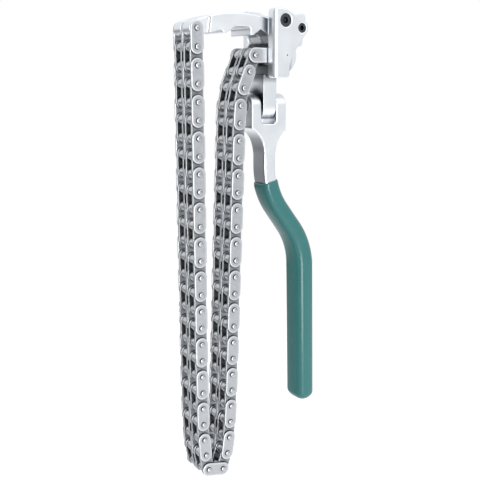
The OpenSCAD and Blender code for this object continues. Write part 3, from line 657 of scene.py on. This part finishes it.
bump = add(tree, "ShaderNodeBump", {"Strength": 0.1, "Distance": 0.06 * MM, "Height": hang.outputs["Fac"]})
shader = add(
    tree, "ShaderNodeBsdfPrincipled",
    {
        "Base Color": worn.outputs[2], "Roughness": rough.outputs[0],
        "IOR": 1.53, "Normal": bump.outputs["Normal"],
    },
)
add(tree, "ShaderNodeOutputMaterial", {"Surface": shader.outputs["BSDF"]})
points, quads, caps, _ = dipped_coat()
mesh = bpy.data.meshes.new("dipped_grip")
mesh.from_pydata(points.tolist(), [], quads.tolist() + caps.tolist())
mesh.shade_smooth()
mesh.set_sharp_from_angle(angle=math.radians(50))
mesh.materials.append(plastisol)
grip = placed("dipped_grip", mesh)
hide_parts("grip")
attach(grip, "handle")

# Floor: a pale studio floor well below the hanging tool. It adds its own white for the camera
# and for reflections, and still takes the tool's shadow. The studio's sizes are in metres.
FLOOR_Z = -0.60
REACH = 1.7
corners = [(sx * REACH, sy * REACH, FLOOR_Z) for sx, sy in ((-1, -1), (1, -1), (1, 1), (-1, 1))]
mesh = bpy.data.meshes.new("studio_floor")
mesh.from_pydata(corners, [], [(0, 1, 2, 3)])
pale, tree = blank_material("pale_studio_floor")
ray = add(tree, "ShaderNodeLightPath")
place = add(tree, "ShaderNodeSeparateXYZ", {0: add(tree, "ShaderNodeTexCoord").outputs["Object"]})
aim = add(tree, "ShaderNodeMapRange", {0: place.outputs["X"], 1: -0.5, 2: 0.2, 3: 0.05, 4: 0.65})
seen = add(
    tree, "ShaderNodeMath",
    {0: ray.outputs["Is Glossy Ray"], 1: ray.outputs["Is Transmission Ray"]}, operation="MAXIMUM",
)
seen = add(tree, "ShaderNodeMath", {0: seen.outputs[0], 1: aim.outputs[0]}, operation="MULTIPLY")
lift = add(
    tree, "ShaderNodeMath",
    {0: ray.outputs["Is Camera Ray"], 1: 0.7, 2: seen.outputs[0]}, operation="MULTIPLY_ADD",
)
glow = add(tree, "ShaderNodeEmission", {"Color": (1, 1, 1, 1), "Strength": lift.outputs[0]})
matt = add(tree, "ShaderNodeBsdfDiffuse", {"Color": linear("#C4C4C4")})
both = add(tree, "ShaderNodeAddShader", {0: glow.outputs[0], 1: matt.outputs[0]})
add(tree, "ShaderNodeOutputMaterial", {"Surface": both.outputs[0]})
mesh.materials.append(pale)
floor = placed("studio_floor", mesh)

# Studio: a white backdrop for the camera, and a room that is bright on the right, behind and above,
# with a low white card on the left at the head's height. Below the card the left is dark, which
# greys the left flanks of the neck and the grip.
RIGHT_WAY = (0.86, -0.46, 0.22)
LEFT_WAY = (-0.95, -0.31, 0.0)
room = bpy.data.worlds.new("studio")
room.use_nodes = True
tree = room.node_tree
tree.nodes.clear()
way = add(tree, "ShaderNodeTexCoord").outputs["Generated"]
side = add(tree, "ShaderNodeSeparateXYZ", {0: way})
right = add(tree, "ShaderNodeVectorMath", {0: way, 1: RIGHT_WAY}, operation="DOT_PRODUCT")
left = add(tree, "ShaderNodeVectorMath", {0: way, 1: LEFT_WAY}, operation="DOT_PRODUCT")

# Each ramp goes smoothly from its third number to its fourth while the direction's part, named
# first, goes from the first number to the second.
ramps = {
    "lit": (right.outputs["Value"], 0.0, 0.6, 0.28, 0.90),
    "rear": (side.outputs["Y"], 0.0, 0.45, 0.0, 1.0),
    "rise": (side.outputs["Z"], -0.18, 0.03, 0.1, 1.0),
    "clear": (side.outputs["X"], -0.35, 0.15, 0.0, 1.0),
    "above": (side.outputs["Z"], 0.2, 0.8, 0.0, 0.88),
    "card": (left.outputs["Value"], 0.3, 0.7, 0.0, 0.8),
    "foot": (side.outputs["Z"], -0.08, 0.04, 0.0, 1.0),
    "top": (side.outputs["Z"], 0.4, 0.2, 0.0, 1.0),
}
for name, values in ramps.items():
    node = add(tree, "ShaderNodeMapRange", dict(enumerate(values)), interpolation_type="SMOOTHSTEP")
    ramps[name] = node.outputs[0]
open_to = add(tree, "ShaderNodeMath", {0: ramps["rise"], 1: ramps["clear"]}, operation="MAXIMUM")
rear = add(tree, "ShaderNodeMath", {0: ramps["rear"], 1: open_to.outputs[0]}, operation="MULTIPLY")
card = add(tree, "ShaderNodeMath", {0: ramps["card"], 1: ramps["foot"]}, operation="MULTIPLY")
card = add(tree, "ShaderNodeMath", {0: card.outputs[0], 1: ramps["top"]}, operation="MULTIPLY")
level = ramps["lit"]
for part in (rear.outputs[0], ramps["above"], card.outputs[0]):
    level = add(tree, "ShaderNodeMath", {0: level, 1: part}, operation="MAXIMUM").outputs[0]
ray = add(tree, "ShaderNodeLightPath")
shine = add(tree, "ShaderNodeBackground", {"Color": linear("#F4F7FA"), "Strength": level})
blank = add(tree, "ShaderNodeBackground", {"Color": (1, 1, 1, 1), "Strength": 1.0})
choice = add(
    tree, "ShaderNodeMixShader",
    {0: ray.outputs["Is Camera Ray"], 1: shine.outputs[0], 2: blank.outputs[0]},
)
add(tree, "ShaderNodeOutputWorld", {"Surface": choice.outputs[0]})
bpy.context.scene.world = room


def softbox(name, place, target, width, height, power):
    """Area lamp at place, facing target, both in metres."""
    lamp = bpy.data.lights.new(name, "AREA")
    lamp.shape = "RECTANGLE"
    lamp.size = width
    lamp.size_y = height
    lamp.energy = power
    holder = placed(name, lamp)
    holder.location = place
    aim = np.array(target) - np.array(place)
    pitch = math.atan2(np.hypot(aim[0], aim[1]), -aim[2])
    holder.rotation_euler = (pitch, 0, math.atan2(aim[1], aim[0]) - math.pi / 2)


softbox("key_softbox", (0.55, -0.95, 0.75), (0, 0, -0.1), 0.8, 0.8, 2.0)
softbox("front_strip", (-0.34, -0.95, -0.08), (0, 0, -0.12), 0.4, 0.9, 7.6)
softbox("top_softbox", (-0.1, 0.1, 0.9), (-0.02, 0, 0), 0.7, 0.7, 1.5)

# Camera: fitted to the chain's pins in the photograph, turned 31 degrees to the right and
# 11 degrees down, with a 62 mm lens on a 36 mm sensor.
TURN = 31.0
TILT = 11.06
lens = bpy.data.cameras.new("camera")
lens.sensor_width = 36.0
lens.lens = 62.03
lens.clip_start = 0.01
camera = placed("camera", lens)
camera.location = (-0.2546, -0.41605, -0.0124)
camera.rotation_euler = (math.radians(90 - TILT), 0, math.radians(-TURN))
bpy.context.scene.camera = camera
bpy.context.scene.view_settings.view_transform = "Standard"
